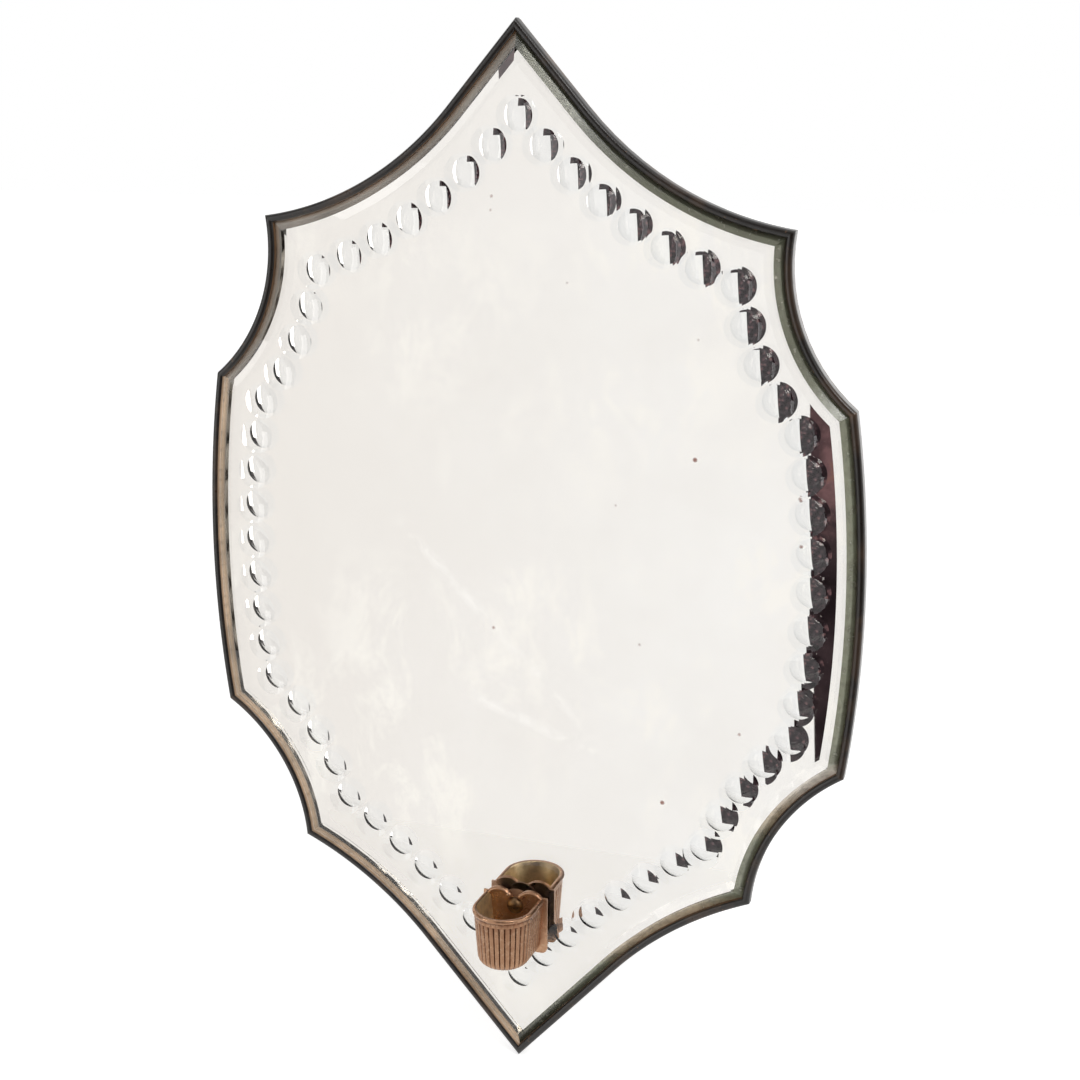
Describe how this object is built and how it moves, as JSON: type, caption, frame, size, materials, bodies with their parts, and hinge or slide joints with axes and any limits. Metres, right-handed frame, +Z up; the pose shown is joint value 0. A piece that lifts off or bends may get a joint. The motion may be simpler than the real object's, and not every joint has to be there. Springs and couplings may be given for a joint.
{
  "type": "girandole wall mirror",
  "caption": "Frameless shield-shaped wall mirror with bevelled edge, a border of round cuts in the glass and a fluted brass candle cup at the foot.",
  "frame": {"origin": "middle of the backboard's back face, at half the mirror's height", "axes": "+Z up along the mirror's height, +Y into the wall, -Y towards the viewer, +X to the viewer's right"},
  "size_m": [0.3354, 0.0487, 0.518],
  "materials": {
    "clear_glass": "polished, ground round cuts",
    "silver_coat": "mirror, worn at the edges",
    "brown_paper": "plain paper",
    "board_wood": "aged, unfinished",
    "black_wood": "black stain, dull polish",
    "old_brass": "brown patina, rubbed on the reeds",
    "brown_leather": "plain",
    "bolt_brass": "dark patina",
    "grey_steel": "dull, tarnished",
    "hanger_brass": "aged"
  },
  "bodies": {
    "mirror": {"mirror_glass": "clear_glass", "silvering": "silver_coat", "backing_sheet": "brown_paper", "backboard": "board_wood", "edge_top_left": "black_wood", "edge_top_right": "black_wood", "edge_shoulder_left": "black_wood", "edge_shoulder_right": "black_wood", "edge_side_left": "black_wood", "edge_side_right": "black_wood", "edge_hip_left": "black_wood", "edge_hip_right": "black_wood", "edge_foot_left": "black_wood", "edge_foot_right": "black_wood", "candle_cup": "old_brass", "cup_back_plate": "old_brass", "glass_washer": "brown_leather", "cup_bolt": "bolt_brass", "rear_washer": "grey_steel", "cup_nut": "grey_steel", "hanger_plate": "hanger_brass", "hanger_screws": "grey_steel"},
    "ring": {"hanger_ring": "hanger_brass"}
  },
  "joints": [
    {"name": "ring_swing", "type": "hinge", "parent": "mirror", "child": "ring", "pos_m": [0, -0.00005, 0.196], "axis": [1, 0, 0], "range_deg": [0, 180]}
  ]
}
